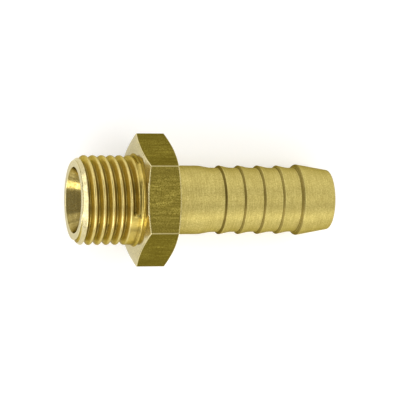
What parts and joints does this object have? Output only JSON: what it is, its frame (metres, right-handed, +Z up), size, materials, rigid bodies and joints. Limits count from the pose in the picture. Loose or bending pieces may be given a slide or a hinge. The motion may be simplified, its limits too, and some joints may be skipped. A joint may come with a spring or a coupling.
{
  "type": "hose barb tail",
  "caption": "Straight turned brass pipe fitting: a male parallel pipe thread with a coned mouth, a hexagon for a spanner, and a barbed tail for a hose.",
  "frame": {"origin": "on the level surface it lies on, under the middle of its length", "axes": "+Z up, +X towards the tail along the surface: the fitting lies on the tail-side edge of one hexagon flat and on its last barb, so its axis slopes down towards +X"},
  "size_m": [0.04, 0.0196, 0.0176],
  "materials": {
    "brass": "bright machined brass, satin turned surfaces and drawn flats"
  },
  "bodies": {
    "root": {"hose_barb_tail": "brass"}
  },
  "joints": []
}
